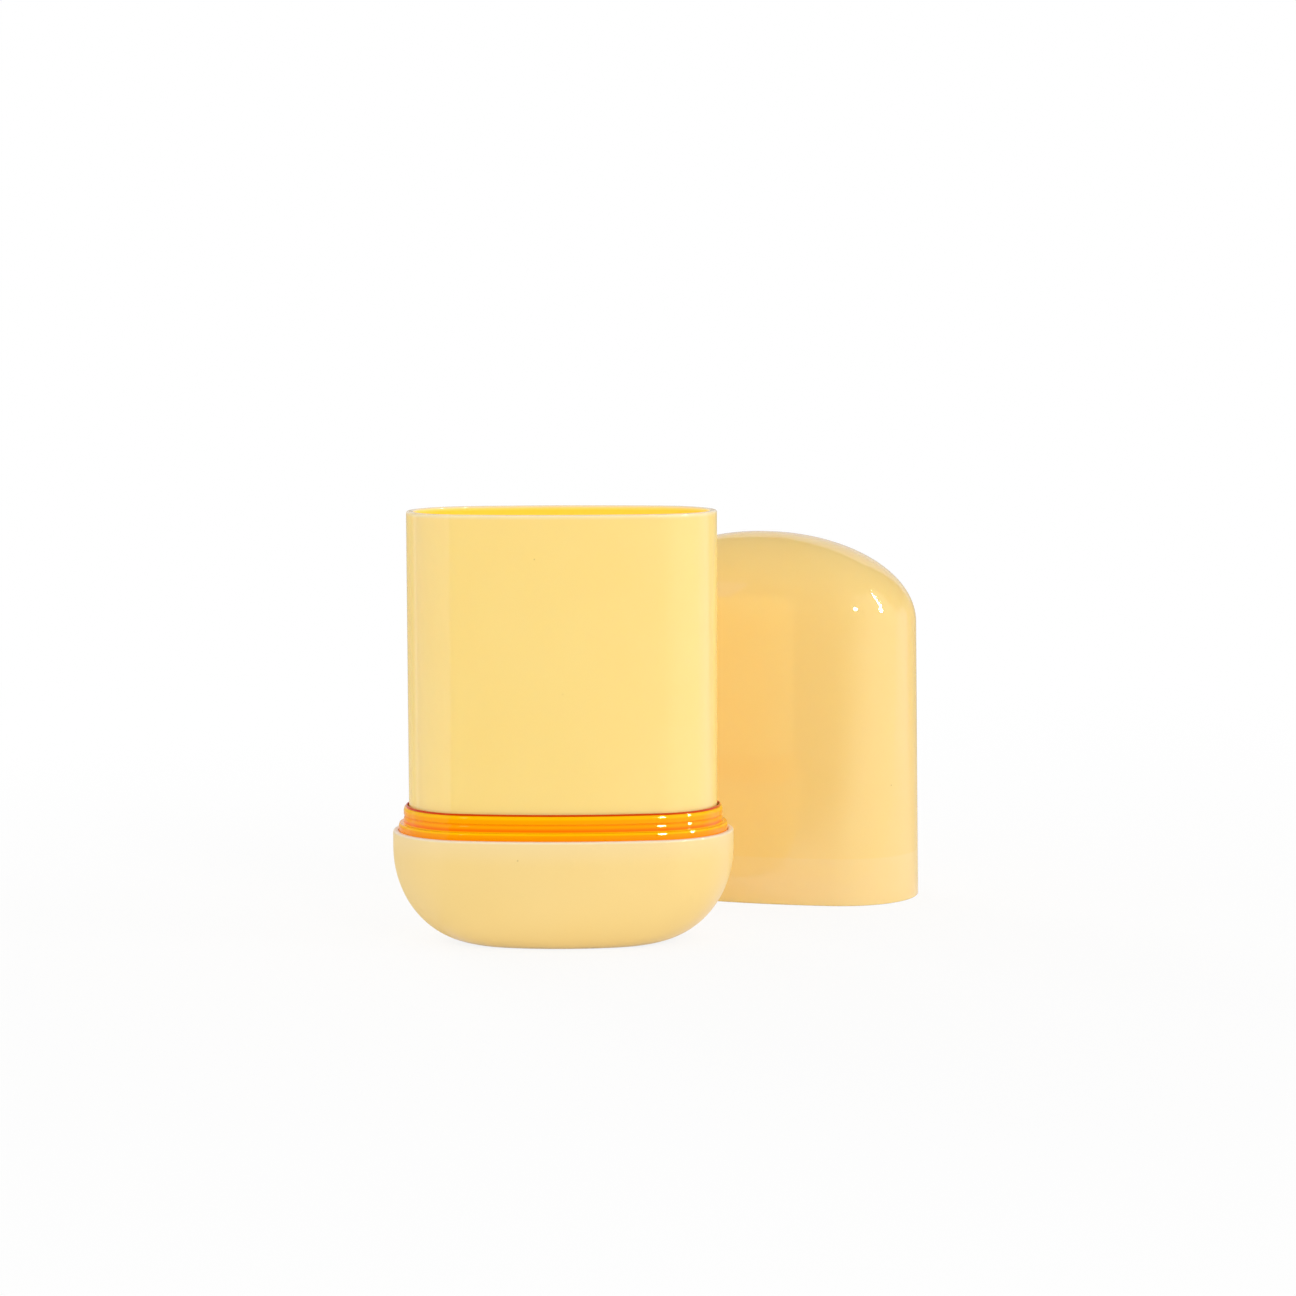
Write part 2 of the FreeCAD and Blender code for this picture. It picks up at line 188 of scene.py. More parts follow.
class StickCaseColours(bpy.types.PropertyGroup):
    """The plastics' colours, the painted light and shade on them, and those of the small inner
    pieces.
    """

    base: colour("Base", "Satin plastic of the base", (0.94, 0.70, 0.28))
    collar: colour("Collar", "Glossy plastic of the collar", (1.0, 0.40, 0.0))
    sleeve: colour("Sleeve", "Glossy plastic of the sleeve", (1.0, 0.745, 0.275))
    # Painted bounce light: a deeper, more saturated shade on the sleeve's inner wall, for light
    # bouncing round the hollow.
    sleeve_inside: colour("Sleeve, inside", "Deeper shade of the sleeve's inner wall",
                          (1.0, 0.67, 0.08))
    # Painted light: a yellower shade on the ribs' upward-facing edges, where light from above
    # falls.
    collar_crown: colour("Collar, crowns", "Yellower shade at the ribs' upper edges",
                         (1.0, 0.56, 0.0))
    # Painted shade: a redder shade low on the ribs, in the groove and on the flange, where the
    # steps shade one another.
    collar_deep: colour("Collar, deep", "Deeper shade low on the ribs", (1.0, 0.20, 0.0))
    # Painted shadow: the dark red of the gap between the sleeve and the collar, painted on the
    # collar's thin lip.
    seam: colour("Seam", "Deep shade of the thin lip round the sleeve", (0.66, 0.06, 0.0))
    # Paler colour painted along the top edges: a painted highlight there, partly also the paler
    # look of thin plastic. Low on the cap it paints a faint reflection.
    thin_edge: colour("Thin edge", "Paler plastic at the thin edges", (0.94, 0.90, 0.85))
    cap: colour("Cap", "Translucent plastic of the cap", (0.965, 0.69, 0.27))
    # Painted bounce light: a deeper, more saturated shade on the cap's inner wall, for light
    # bouncing round the hollow.
    cap_inside: colour("Cap, inside", "Deeper shade of the cap's inner wall", (0.95, 0.52, 0.10))
    carrier: colour("Carrier", "Plastic of the elevator", (0.95, 0.62, 0.05))
    inner: colour("Inner parts", "Plastic of the spindle and the chassis", (0.90, 0.80, 0.58))
    dial: colour("Dial", "Plastic of the dial", (1.0, 0.38, 0.0))
    rubber: colour("Rubber", "Soft drag ring", (0.03, 0.028, 0.026))
    steel: colour("Steel", "Spring steel of the snap rings", (0.55, 0.54, 0.52))


class StickCaseStudio(bpy.types.PropertyGroup):
    """The camera, the lamps and the room that the gloss reflects."""

    lens: FloatProperty(name="Lens", description="Focal length of the camera", default=98.8,
                        min=1.0, subtype="DISTANCE_CAMERA")
    daylight: strength("Daylight", "Strength of the even light from the walls of the room", 1.2)
    lean: strength("Lean", "How much brighter the right wall is than the left", 0.055, least=-1.0)
    ceiling_light: strength("Ceiling light", "Strength of the even light from the ceiling", 0.38)
    front_lamp: strength("Front lamp", "Brightness of the lamp at the front right", 12.0)
    side_lamp: strength("Side lamp", "Brightness of the tall lamp at the right", 1.5)
    back_lamp: strength("Back lamp", "Brightness of the lamp behind at the left", 5.0)
    gleam: strength("Gleam", "Brightness of the lamps in the gloss", 200.0)


class StickCaseSettings(bpy.types.PropertyGroup):
    """All the sizes, colours and lights of the stick case."""

    sleeve: PointerProperty(type=StickCaseSleeveSizes)
    collar: PointerProperty(type=StickCaseCollarSizes)
    base: PointerProperty(type=StickCaseBaseSizes)
    cap: PointerProperty(type=StickCaseCapSizes)
    fineness: PointerProperty(type=StickCaseFineness)
    colours: PointerProperty(type=StickCaseColours)
    studio: PointerProperty(type=StickCaseStudio)


# ---- Node trees ----------------------------------------------------------------------


def open_socket(sockets, name):
    """The socket of that name which the node's settings leave in use."""
    for socket in sockets:
        if socket.name == name and socket.enabled:
            return socket
    raise KeyError(name)


class Term:
    """A number in a node tree. Sums and products of terms become Math nodes."""

    def __init__(self, wiring, socket):
        self.wiring = wiring
        self.socket = socket

    def __add__(self, other):
        return self.wiring.math("ADD", self, other)

    def __sub__(self, other):
        return self.wiring.math("SUBTRACT", self, other)

    def __rsub__(self, other):
        return self.wiring.math("SUBTRACT", other, self)

    def __mul__(self, other):
        return self.wiring.math("MULTIPLY", self, other)

    def __truediv__(self, other):
        return self.wiring.math("DIVIDE", self, other)

    __radd__ = __add__
    __rmul__ = __mul__


class Wiring:
    """Adds nodes to a tree and links them as it goes."""

    def __init__(self, tree):
        self.tree = tree

    def feed(self, socket, value):
        """Link a socket to another one, or set the socket's own value."""
        if isinstance(value, Term):
            value = value.socket
        if isinstance(value, bpy.types.NodeSocket):
            self.tree.links.new(value, socket)
        else:
            socket.default_value = value

    def add(self, kind, inputs=None, **settings):
        node = self.tree.nodes.new(kind)
        for name, value in settings.items():
            setattr(node, name, value)
        for name, value in (inputs or {}).items():
            self.feed(open_socket(node.inputs, name), value)
        return node

    def operate(self, kind, operation, values):
        """A node of one of the kinds that hold many operations, and its outputs."""
        node = self.tree.nodes.new(kind)
        node.operation = operation
        for socket, value in zip(node.inputs, values):
            self.feed(socket, value)
        return node.outputs

    def math(self, operation, *values):
        return Term(self, self.operate("ShaderNodeMath", operation, values)[0])

    def vector_math(self, operation, *values):
        return self.operate("ShaderNodeVectorMath", operation, values)["Vector"]

    def vector_measure(self, operation, *values):
        return Term(self, self.operate("ShaderNodeVectorMath", operation, values)["Value"])

    def pick(self, condition, when_true, when_false):
        return when_false + condition * (when_true - when_false)

    def parts(self, vector):
        node = self.add("ShaderNodeSeparateXYZ", {"Vector": vector})
        return [Term(self, socket) for socket in node.outputs]

    def rise(self, value, start, end):
        """Nought as far as the start, one from the end on, and smooth between them."""
        ramp = self.add("ShaderNodeMapRange", {
            "Value": value, "From Min": start, "From Max": end, "To Min": 0.0, "To Max": 1.0},
            interpolation_type="SMOOTHSTEP")
        return Term(self, ramp.outputs["Result"])

    def blend(self, colour, factor, other, blend_type="MIX"):
        mixed = self.add("ShaderNodeMix", {"Factor": factor, "A": colour, "B": other},
                         data_type="RGBA", blend_type=blend_type)
        return open_socket(mixed.outputs, "Result")

    def group(self, make, values):
        """A copy of a shader group, and its outputs."""
        node = self.add("ShaderNodeGroup", node_tree=made_once(make))
        for name, value in values.items():
            self.feed(node.inputs[name], value)
        return node.outputs

    def tint(self, colour, factor, rgb):
        """A colour mixed towards a plain one."""
        return self.blend(colour, factor, (*rgb, 1))

    def vector(self, x, y, z):
        return self.add("ShaderNodeCombineXYZ", {"X": x, "Y": y, "Z": z}).outputs[0]


def new_group(name, kind, inputs, outputs):
    """A new node group, the wiring to fill it with, and the sockets that it is given."""
    tree = bpy.data.node_groups.new(name, kind)
    for direction, sockets in (("INPUT", inputs), ("OUTPUT", outputs)):
        for label, value_kind, *default in sockets:
            socket = tree.interface.new_socket(label, in_out=direction,
                                               socket_type="NodeSocket" + value_kind)
            if default:
                socket.default_value = default[0]
    w = Wiring(tree)
    return tree, w, w.add("NodeGroupInput").outputs


def made_once(make):
    """Build a node group the first time that it is asked for."""
    return bpy.data.node_groups.get(make.__name__) or make()


def oval_turning():
    """A tree that turns a section round an oval of four tangent arcs.

    Each point of the section holds half the oval's width, half its depth and its height,
    with the radius of the rounded ends in an attribute. A point of the outline is found from
    the direction that the wall faces there, so every row of faces keeps to the same arcs.
    """
    tree, w, given = new_group("oval_turning", "GeometryNodeTree", [
        ("Section", "Geometry"), ("End Columns", "Int"), ("Side Columns", "Int"),
        ("Weld", "Float", WELD), ("Finish", "Material"),
    ], [("Shell", "Geometry")])
    section = given["Section"]
    ends = Term(w, given["End Columns"])
    sides = Term(w, given["Side Columns"])

    size = w.add("GeometryNodeAttributeDomainSize", {"Geometry": section}, component="MESH")
    rows = Term(w, open_socket(size.outputs, "Point Count"))
    half_round = ends + sides
    columns = half_round * 2
    grid = w.add("GeometryNodeMeshGrid", {
        "Size X": rows - 1, "Size Y": columns, "Vertices X": rows, "Vertices Y": columns + 1})
    across, along, _ = w.parts(w.add("GeometryNodeInputPosition").outputs[0])
    row = w.math("ROUND", across + (rows - 1) / 2)
    column = w.math("ROUND", along + columns / 2)

    place = w.add("GeometryNodeSampleIndex", {
        "Geometry": section, "Index": row,
        "Value": w.add("GeometryNodeInputPosition").outputs[0]}, data_type="FLOAT_VECTOR")
    half_width, half_depth, height = w.parts(open_socket(place.outputs, "Value"))
    named = w.add("GeometryNodeInputNamedAttribute", {"Name": "end_radius"}, data_type="FLOAT")
    sample = w.add("GeometryNodeSampleIndex", {
        "Geometry": section, "Index": row,
        "Value": open_socket(named.outputs, "Attribute")}, data_type="FLOAT")
    end_radius = Term(w, open_socket(sample.outputs, "Value"))

    run = half_width - end_radius
    rise = half_depth - end_radius
    set_back = (run * run / rise - rise) / 2
    joint = w.math("ARCTAN2", set_back, run)

    turned = w.math("FLOOR", column / half_round)
    step = column - turned * half_round
    on_side = w.math("GREATER_THAN", step, ends + 0.5)
    end_angle = joint * (step / ends * 2 - 1)
    side_angle = joint + (math.pi - joint * 2) * (step - ends) / sides
    facing = w.pick(on_side, side_angle, end_angle)
    radius = w.pick(on_side, half_depth + set_back, end_radius)
    flip = w.math("COSINE", turned * math.pi)
    x = (w.math("COSINE", facing) * radius + (1 - on_side) * run) * flip
    y = (w.math("SINE", facing) * radius - on_side * set_back) * flip

    shaped = w.add("GeometryNodeSetPosition", {
        "Geometry": grid.outputs["Mesh"], "Position": w.vector(x, y, height)})
    welded = w.add("GeometryNodeMergeByDistance", {
        "Geometry": shaped.outputs[0], "Distance": given["Weld"]})
    outwards = w.add("GeometryNodeFlipFaces", {"Mesh": welded.outputs[0]})
    smooth = w.add("GeometryNodeSetShadeSmooth", {"Geometry": outwards.outputs[0]})
    real = w.add("GeometryNodeRealizeInstances", {"Geometry": smooth.outputs[0]})
    finished = w.add("GeometryNodeSetMaterial", {
        "Geometry": real.outputs[0], "Material": given["Finish"]})
    w.add("NodeGroupOutput", {"Shell": finished.outputs[0]})
    return tree


def posts_on_floor():
    """A tree that stands a copy of one post at every point that it is given.

    Each post's foot is dropped on to the floor below it, and sunk a little into it.
    """
    tree, w, given = new_group("posts_on_floor", "GeometryNodeTree", [
        ("Points", "Geometry"), ("Post", "Object"), ("Floor", "Object"),
        ("Foot Level", "Float"), ("Sink", "Float"), ("Finish", "Material"),
    ], [("Posts", "Geometry")])
    post = w.add("GeometryNodeObjectInfo", {"Object": given["Post"]})
    floor = w.add("GeometryNodeObjectInfo", {"Object": given["Floor"]})
    copies = w.add("GeometryNodeInstanceOnPoints", {
        "Points": given["Points"], "Instance": post.outputs["Geometry"]})
    real = w.add("GeometryNodeRealizeInstances", {"Geometry": copies.outputs[0]})

    x, y, z = w.parts(w.add("GeometryNodeInputPosition").outputs[0])
    level = Term(w, given["Foot Level"])
    below = w.add("GeometryNodeRaycast", {
        "Target Geometry": floor.outputs["Geometry"],
        "Source Position": w.vector(x, y, level * 2),
        "Ray Direction": (0, 0, -1), "Ray Length": level * 2})
    floor_height = w.parts(below.outputs["Hit Position"])[2]
    footed = w.add("GeometryNodeSetPosition", {
        "Geometry": real.outputs[0],
        "Selection": w.math("LESS_THAN", z, level),
        "Position": w.vector(x, y, floor_height - Term(w, given["Sink"]))})
    finished = w.add("GeometryNodeSetMaterial", {
        "Geometry": footed.outputs[0], "Material": given["Finish"]})
    w.add("NodeGroupOutput", {"Posts": finished.outputs[0]})
    return tree


def grown_mesh(piece, make_tree, values):
    """Run a tree on a piece and keep the result as the piece's plain mesh."""
    modifier = piece.modifiers.new(make_tree.__name__, "NODES")
    modifier.node_group = made_once(make_tree)
    for item in modifier.node_group.interface.items_tree:
        if item.in_out == "INPUT" and item.name in values:
            modifier[item.identifier] = values[item.name]
    bpy.context.view_layer.update()
    evaluated = piece.evaluated_get(bpy.context.evaluated_depsgraph_get())
    mesh = bpy.data.meshes.new_from_object(evaluated)
    piece.modifiers.remove(modifier)
    draft = piece.data
    piece.data = mesh
    bpy.data.meshes.remove(draft)
    mesh.name = piece.name
    return piece


# ---- Outlines and sections -----------------------------------------------------------


class Oval:
    """An outline of four tangent arcs: two broad ones, front and back, and two ends."""

    def __init__(self, half_width, half_depth, end_radius):
        self.half_width = half_width
        self.half_depth = half_depth
        self.end_radius = end_radius

    def grown(self, by):
        return Oval(self.half_width + by, self.half_depth + by, self.end_radius + by)

    def scaled(self, by):
        return Oval(self.half_width * by, self.half_depth * by, self.end_radius * by)

    def drawn_in(self, along_width, along_depth):
        """Draw the sides in unevenly, and keep the ends as round for their depth."""
        half_depth = self.half_depth - along_depth
        end_radius = self.end_radius * half_depth / self.half_depth
        return Oval(self.half_width - along_width, half_depth, end_radius)

    def at(self, height):
        """This outline at a height, as one point of a section."""
        return Vector((self.half_width, self.half_depth, self.end_radius, height))


# An oval needs broad arcs that differ a little from its ends, even where it is a circle.
CIRCLE_EASE = 0.0002
CIRCLE_WIDENING = 7.8


def circle(radius):
    """A circle, as an oval that is out of round by less than two thousandths."""
    ease = radius * CIRCLE_EASE
    return Oval(radius + CIRCLE_WIDENING * ease, radius, radius - ease)


# An outline shrunk to a point, where a section meets the middle line.
POLE = Oval(0.0, 0.0, 0.0)

# The most of a wall's length that the rounding at one of its ends may take.
ROUNDING_SHARE = 0.45


def reach(step):
    """The length of a step along a section, seen in the slice through the front."""
    return math.hypot(step[1], step[3])


def bend(before, corner, after, rounding, rows, hold):
    """A circular arc round one corner of a section.

    Where there is room, a row of points on each side of it keeps the wall's shading flat.
    """
    arriving = (corner - before) / reach(corner - before)
    leaving = (after - corner) / reach(after - corner)
    agreement = arriving[1] * leaving[1] + arriving[3] * leaving[3]
    half_turn = math.acos(max(-1.0, min(1.0, agreement))) / 2
    room = min(reach(corner - before), reach(after - corner))
    back = min(rounding * math.tan(half_turn), ROUNDING_SHARE * room)
    start = corner - arriving * back
    end = corner + leaving * back
    points = []
    if back + hold < reach(corner - before) / 2:
        points.append(start - arriving * hold)
    for i in range(rows + 1):
        t = i / rows
        pull = 2 * math.cos(half_turn) * t * (1 - t)
        share = (1 - t) ** 2 + pull + t ** 2
        points.append((start * (1 - t) ** 2 + corner * pull + end * t ** 2) / share)
    if back + hold < reach(after - corner) / 2:
        points.append(end + leaving * hold)
    return points


def section(corners, closed=True):
    """The points of a section. Each corner is a point with the rounding that it gets."""
    fineness = bpy.context.scene.stick_case.fineness
    points = []
    for i, (corner, rounding) in enumerate(corners):
        if rounding:
            after = corners[(i + 1) % len(corners)][0]
            points += bend(corners[i - 1][0], corner, after, rounding,
                           fineness.bend_rows, fineness.hold)
        else:
            points.append(corner)
    return points + points[:1] if closed else points


def turned_shell(name, points, finish, coarser=1):
    """A shell made by turning a section round its ovals. A small one can be drawn coarser."""
    mesh = bpy.data.meshes.new(name)
    places = [(point[0], point[1], point[3]) for point in points]
    mesh.from_pydata(places, [(i, i + 1) for i in range(len(places) - 1)], [])
    end_radius = mesh.attributes.new("end_radius", "FLOAT", "POINT")
    end_radius.data.foreach_set("value", [point[2] for point in points])
    fineness = bpy.context.scene.stick_case.fineness
    return grown_mesh(placed(name, mesh), oval_turning, {
        "End Columns": fineness.end_columns // coarser,
        "Side Columns": fineness.side_columns // coarser,
        "Finish": finish,
    })


def stand_in_for(piece, body, slot, *nodes):
    """Say which body a piece rides on, and hide the CAD nodes that it replaces. The slot is not
    used.
    """
    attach(piece, body)
    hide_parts(*nodes)


# ---- The shared outlines -------------------------------------------------------------


def sleeve_outline(settings):
    return Oval(*half_sizes("sleeve"), settings.sleeve.end_radius)


def collar_flange(settings):
    step = half_sizes("collar")[0] - half_sizes("sleeve")[0]
    return sleeve_outline(settings).grown(step)


def base_outline(settings):
    step = half_sizes("base_shell")[0] - half_sizes("sleeve")[0]
    return sleeve_outline(settings).grown(step)


def collar_top(settings):
    """The top of the collar's ribs."""
    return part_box("collar")[1][2] - settings.collar.top_drop


def collar_flange_top(settings):
    sizes = settings.collar
    ribs = sizes.upper_rib + sizes.groove_height + sizes.lower_rib
    return collar_top(settings) - ribs


# ---- Shells --------------------------------------------------------------------------


def sleeve_section(settings):
    sizes = settings.sleeve
    outer = sleeve_outline(settings)
    inner = outer.grown(-sizes.wall)
    hole = circle(sizes.spindle_hole)
    bottom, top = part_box("sleeve")[0][2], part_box("sleeve")[1][2]
    floor_bottom = bottom + sizes.skirt_height
    floor_top = floor_bottom + sizes.floor
    return section([
        (outer.at(bottom), sizes.corner_rounding),
        (outer.at(top), sizes.rim_rounding),
        (inner.at(top), sizes.rim_rounding),
        (inner.at(floor_top), sizes.corner_rounding),
        (hole.at(floor_top), sizes.corner_rounding),
        (hole.at(floor_bottom), sizes.corner_rounding),
        (inner.at(floor_bottom), sizes.corner_rounding),
        (inner.at(bottom), sizes.corner_rounding),
    ])


def collar_section(settings):
    sizes = settings.collar
    corner = sizes.corner_rounding
    flange = collar_flange(settings)
    band = flange.grown(-sizes.flange_step)
    neck = band.grown(-sizes.groove_depth)
    socket = sleeve_outline(settings).grown(sizes.clearance)
    lip = socket.grown(sizes.lip_wall)
    bottom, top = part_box("collar")[0][2], collar_top(settings)
    groove_top = top - sizes.upper_rib
    groove_bottom = groove_top - sizes.groove_height
    flange_top = collar_flange_top(settings)

    def crown(outline, level):
        """A rib's upper edge, which draws in a little before it turns over."""
        return [(outline.at(level - sizes.crown_height), sizes.crown_rounding),
                (outline.grown(-sizes.crown_inset).at(level), corner)]

    return section([
        (flange.at(bottom), corner),
        *crown(flange, flange_top),
        (band.at(flange_top), corner),
        *crown(band, groove_bottom),
        (neck.at(groove_bottom), corner),
        (neck.at(groove_top), corner),
        (band.at(groove_top), corner),
        *crown(band, top),
        (lip.at(top), corner),
        (lip.at(top + sizes.lip_height), corner),
        (socket.at(top + sizes.lip_height), corner),
        (socket.at(bottom), corner),
    ])


def bowl_points(sizes, side, foot, first_share, last_share, rows):
    """Points up a quarter turn from the foot to the side wall, between two shares of it."""
    points = []
    for i in range(rows + 1):
        turn = QUARTER_TURN * (first_share + (last_share - first_share) * i / rows)
        drawn_in = 1 - math.sin(turn)
        outline = side.drawn_in(sizes.foot_inset_width * drawn_in,
                                sizes.foot_inset_depth * drawn_in)
        height = foot + (sizes.bowl_height - foot) * (1 - math.cos(turn))
        points.append((outline.at(height), 0))
    return points


def base_section(settings):
    sizes = settings.base
    rows = settings.fineness.crown_rows
    outer = base_outline(settings)
    seat = outer.grown(-sizes.lip_wall)
    inner = outer.grown(-sizes.wall)
    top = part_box("base_shell")[1][2]
    seat_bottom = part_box("collar")[0][2]
    climbed = (seat_bottom - sizes.wall) / (sizes.bowl_height - sizes.wall)
    seat_share = math.acos(1 - climbed) / QUARTER_TURN
    well_outer = sizes.well_radius + sizes.well_wall
    drawn_in = (inner.half_depth - well_outer - sizes.lip_rounding) / sizes.foot_inset_depth
    floor_share = math.asin(1 - drawn_in) / QUARTER_TURN
    cavity = bowl_points(sizes, inner, sizes.wall, floor_share, seat_share, rows)
    cavity_floor = cavity[0][0][3]
    corner = sizes.corner_rounding
    return section([
        (circle(sizes.well_radius).at(0), corner),
        *bowl_points(sizes, outer, 0, 0, 1, rows),
        (outer.at(top), sizes.lip_rounding),
        (seat.at(top), corner),
        (seat.at(seat_bottom), corner),
        *reversed(cavity),
        (circle(well_outer).at(cavity_floor), corner),
        (circle(well_outer).at(sizes.web_top), corner),
        (circle(sizes.hub_hole).at(sizes.web_top), corner),
        (circle(sizes.hub_hole).at(sizes.web_bottom), corner),
        (circle(sizes.well_radius).at(sizes.web_bottom), corner),
    ])


def post_section(settings):
    sizes = settings.base
    post = circle(sizes.post_radius)
    hole = circle(sizes.post_hole)
    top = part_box("chassis")[0][2] + sizes.post_hole_depth - sizes.pin_clearance
    hole_floor = top - sizes.post_hole_depth
    corner = sizes.corner_rounding
    return section([
        (POLE.at(0), 0),
        (post.at(0), 0),
        (post.at(top), corner),
        (hole.at(top), corner),
        (hole.at(hole_floor), corner),
        (POLE.at(hole_floor), 0),
    ], closed=False)


def dome_points(low, shoulder, height, rows):
    """Points up a crown whose outline shrinks to nothing at the top."""
    points = []
    for i in range(rows + 1):
        turn = QUARTER_TURN * i / rows
        points.append((low.scaled(math.cos(turn)).at(shoulder + height * math.sin(turn)), 0))
    return points


def cap_section(settings):
    sizes = settings.cap
    rows = settings.fineness.crown_rows
    mouth = base_outline(settings)
    high = mouth.grown(-sizes.draft)
    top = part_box("cap")[1][2]
    shoulder = top - sizes.dome_height
    grip = mouth.grown(-sizes.grip_wall)
    inner_mouth = mouth.grown(-sizes.wall)
    inner_high = high.grown(-sizes.wall)
    grip_draft = sizes.draft * sizes.grip_height / shoulder
    corner = sizes.corner_rounding
    inside = dome_points(inner_high, shoulder, sizes.dome_height - sizes.crown, rows)
    return section([
        *reversed(inside),
        (inner_mouth.grown(-grip_draft).at(sizes.grip_height), corner),
        (grip.at(sizes.grip_height), corner),
        (grip.at(sizes.mouth_height), corner),
        (inner_mouth.at(sizes.mouth_height), corner),
        (inner_mouth.at(0), corner),
        (mouth.at(0), sizes.lip_rounding),
        *dome_points(high, shoulder, sizes.dome_height, rows),
    ], closed=False)


# ---- Plastics ------------------------------------------------------------------------

SPECK_COLOUR = (0.25, 0.12, 0.02)
LEAST_ROUGHNESS = 0.02
FAINT_RELIEF = 0.01 * MM

# How far red, green and blue light travel inside the glossy plastics, next to one another.
WARM_SPREAD = (1.0, 0.85, 0.6)

# Cosines between a face's normal and the way out from the middle of a hollow piece.
INSIDE_BEGINS = -0.05
INSIDE_WHOLLY = -0.25

# A band of another colour between two heights, with its fade at each edge and its amount.
Band = namedtuple("Band", "rgb low high fade amount")

# The inner wall of a hollow piece: the colour of its painted bounce light, the piece's middle,
# and the strength of a painted emission that stands in for light coming through the wall.
Inside = namedtuple("Inside", "rgb middle glow", defaults=[0.0])


def moulded_skin():
    """Group: how a moulded surface varies, in colour, in gloss and in its fine relief."""
    tree, w, given = new_group("moulded_skin", "ShaderNodeTree", [
        ("Colour", "Color"),
        ("Deepening", "Float", 0.12),
        ("Mottle Size", "Float", 20 * MM),
        ("Roughness", "Float"),
        ("Roughness Spread", "Float", 0.04),
        ("Grain Size", "Float", 0.3 * MM),
        ("Grain", "Float", 0.5),
        ("Waviness Size", "Float", 12 * MM),
        ("Waviness", "Float", 0.5),
        ("Speck Spacing", "Float", 9 * MM),
        ("Speck Size", "Float", 0.16 * MM),
        ("Specks", "Float", 0.25),
    ], [("Colour", "Color"), ("Roughness", "Float"), ("Height", "Float")])
    place = w.add("ShaderNodeTexCoord").outputs["Object"]

    def cloud(size, detail):
        scale = w.math("DIVIDE", 1.0, given[size])
        noise = w.add("ShaderNodeTexNoise", {
            "Vector": place, "Scale": scale, "Detail": detail, "Roughness": 0.5})
        return Term(w, open_socket(noise.outputs, "Fac")) - 0.5

    mottle = cloud("Mottle Size", detail=2.0)
    grain = cloud("Grain Size", detail=3.0)
    waves = cloud("Waviness Size", detail=1.0)
    deepening = (mottle + 0.5) * Term(w, given["Deepening"])
    deeper = w.add("ShaderNodeGamma", {"Color": given["Colour"], "Gamma": deepening + 1.0})

    spacing = Term(w, given["Speck Spacing"])
    cells = w.add("ShaderNodeTexVoronoi", {"Vector": place, "Scale": w.math("DIVIDE", 1, spacing)})
    nearness = Term(w, cells.outputs["Distance"]) * spacing / Term(w, given["Speck Size"])
    speck = w.math("LESS_THAN", nearness, 1.0) * Term(w, given["Specks"])
    darker = w.tint(deeper.outputs[0], speck, SPECK_COLOUR)

    roughness = Term(w, given["Roughness"]) + mottle * Term(w, given["Roughness Spread"]) * 2
    height = grain * Term(w, given["Grain"]) + waves * Term(w, given["Waviness"])
    w.add("NodeGroupOutput", {
        "Colour": darker,
        "Roughness": w.math("MAXIMUM", roughness, LEAST_ROUGHNESS),
        "Height": height,
    })
    return tree


def hollow_side():
    """Group: which faces of a hollow shell look inwards, seen from its middle."""
    tree, w, given = new_group("hollow_side", "ShaderNodeTree", [("Middle", "Vector")],
                               [("Inside", "Float")])
    place = w.add("ShaderNodeTexCoord").outputs["Object"]
    outwards = w.vector_math("NORMALIZE", w.vector_math("SUBTRACT", place, given["Middle"]))
    normal = w.add("ShaderNodeNewGeometry").outputs["Normal"]
    facing = w.vector_measure("DOT_PRODUCT", outwards, normal)
    w.add("NodeGroupOutput", {"Inside": w.rise(facing, INSIDE_BEGINS, INSIDE_WHOLLY)})
    return tree


def height_band():
    """Group: a band between two heights, with soft edges that lie outside it."""
    tree, w, given = new_group("height_band", "ShaderNodeTree", [
        ("Low", "Float"), ("High", "Float"), ("Fade", "Float"), ("Amount", "Float"),
    ], [("Band", "Float")])
    low, high, fade = (Term(w, given[name]) for name in ("Low", "High", "Fade"))
    height = w.parts(w.add("ShaderNodeTexCoord").outputs["Object"])[2]
    above_low = w.rise(height, low - fade, low)
    below_high = 1 - w.rise(height, high, high + fade)
    w.add("NodeGroupOutput", {"Band": above_low * below_high * Term(w, given["Amount"])})
    return tree


def new_material(name):
    """An empty material, and the wiring to fill it with."""
    material = bpy.data.materials.new(name)
    material.use_nodes = True
    material.node_tree.nodes.clear()
    return material, Wiring(material.node_tree)


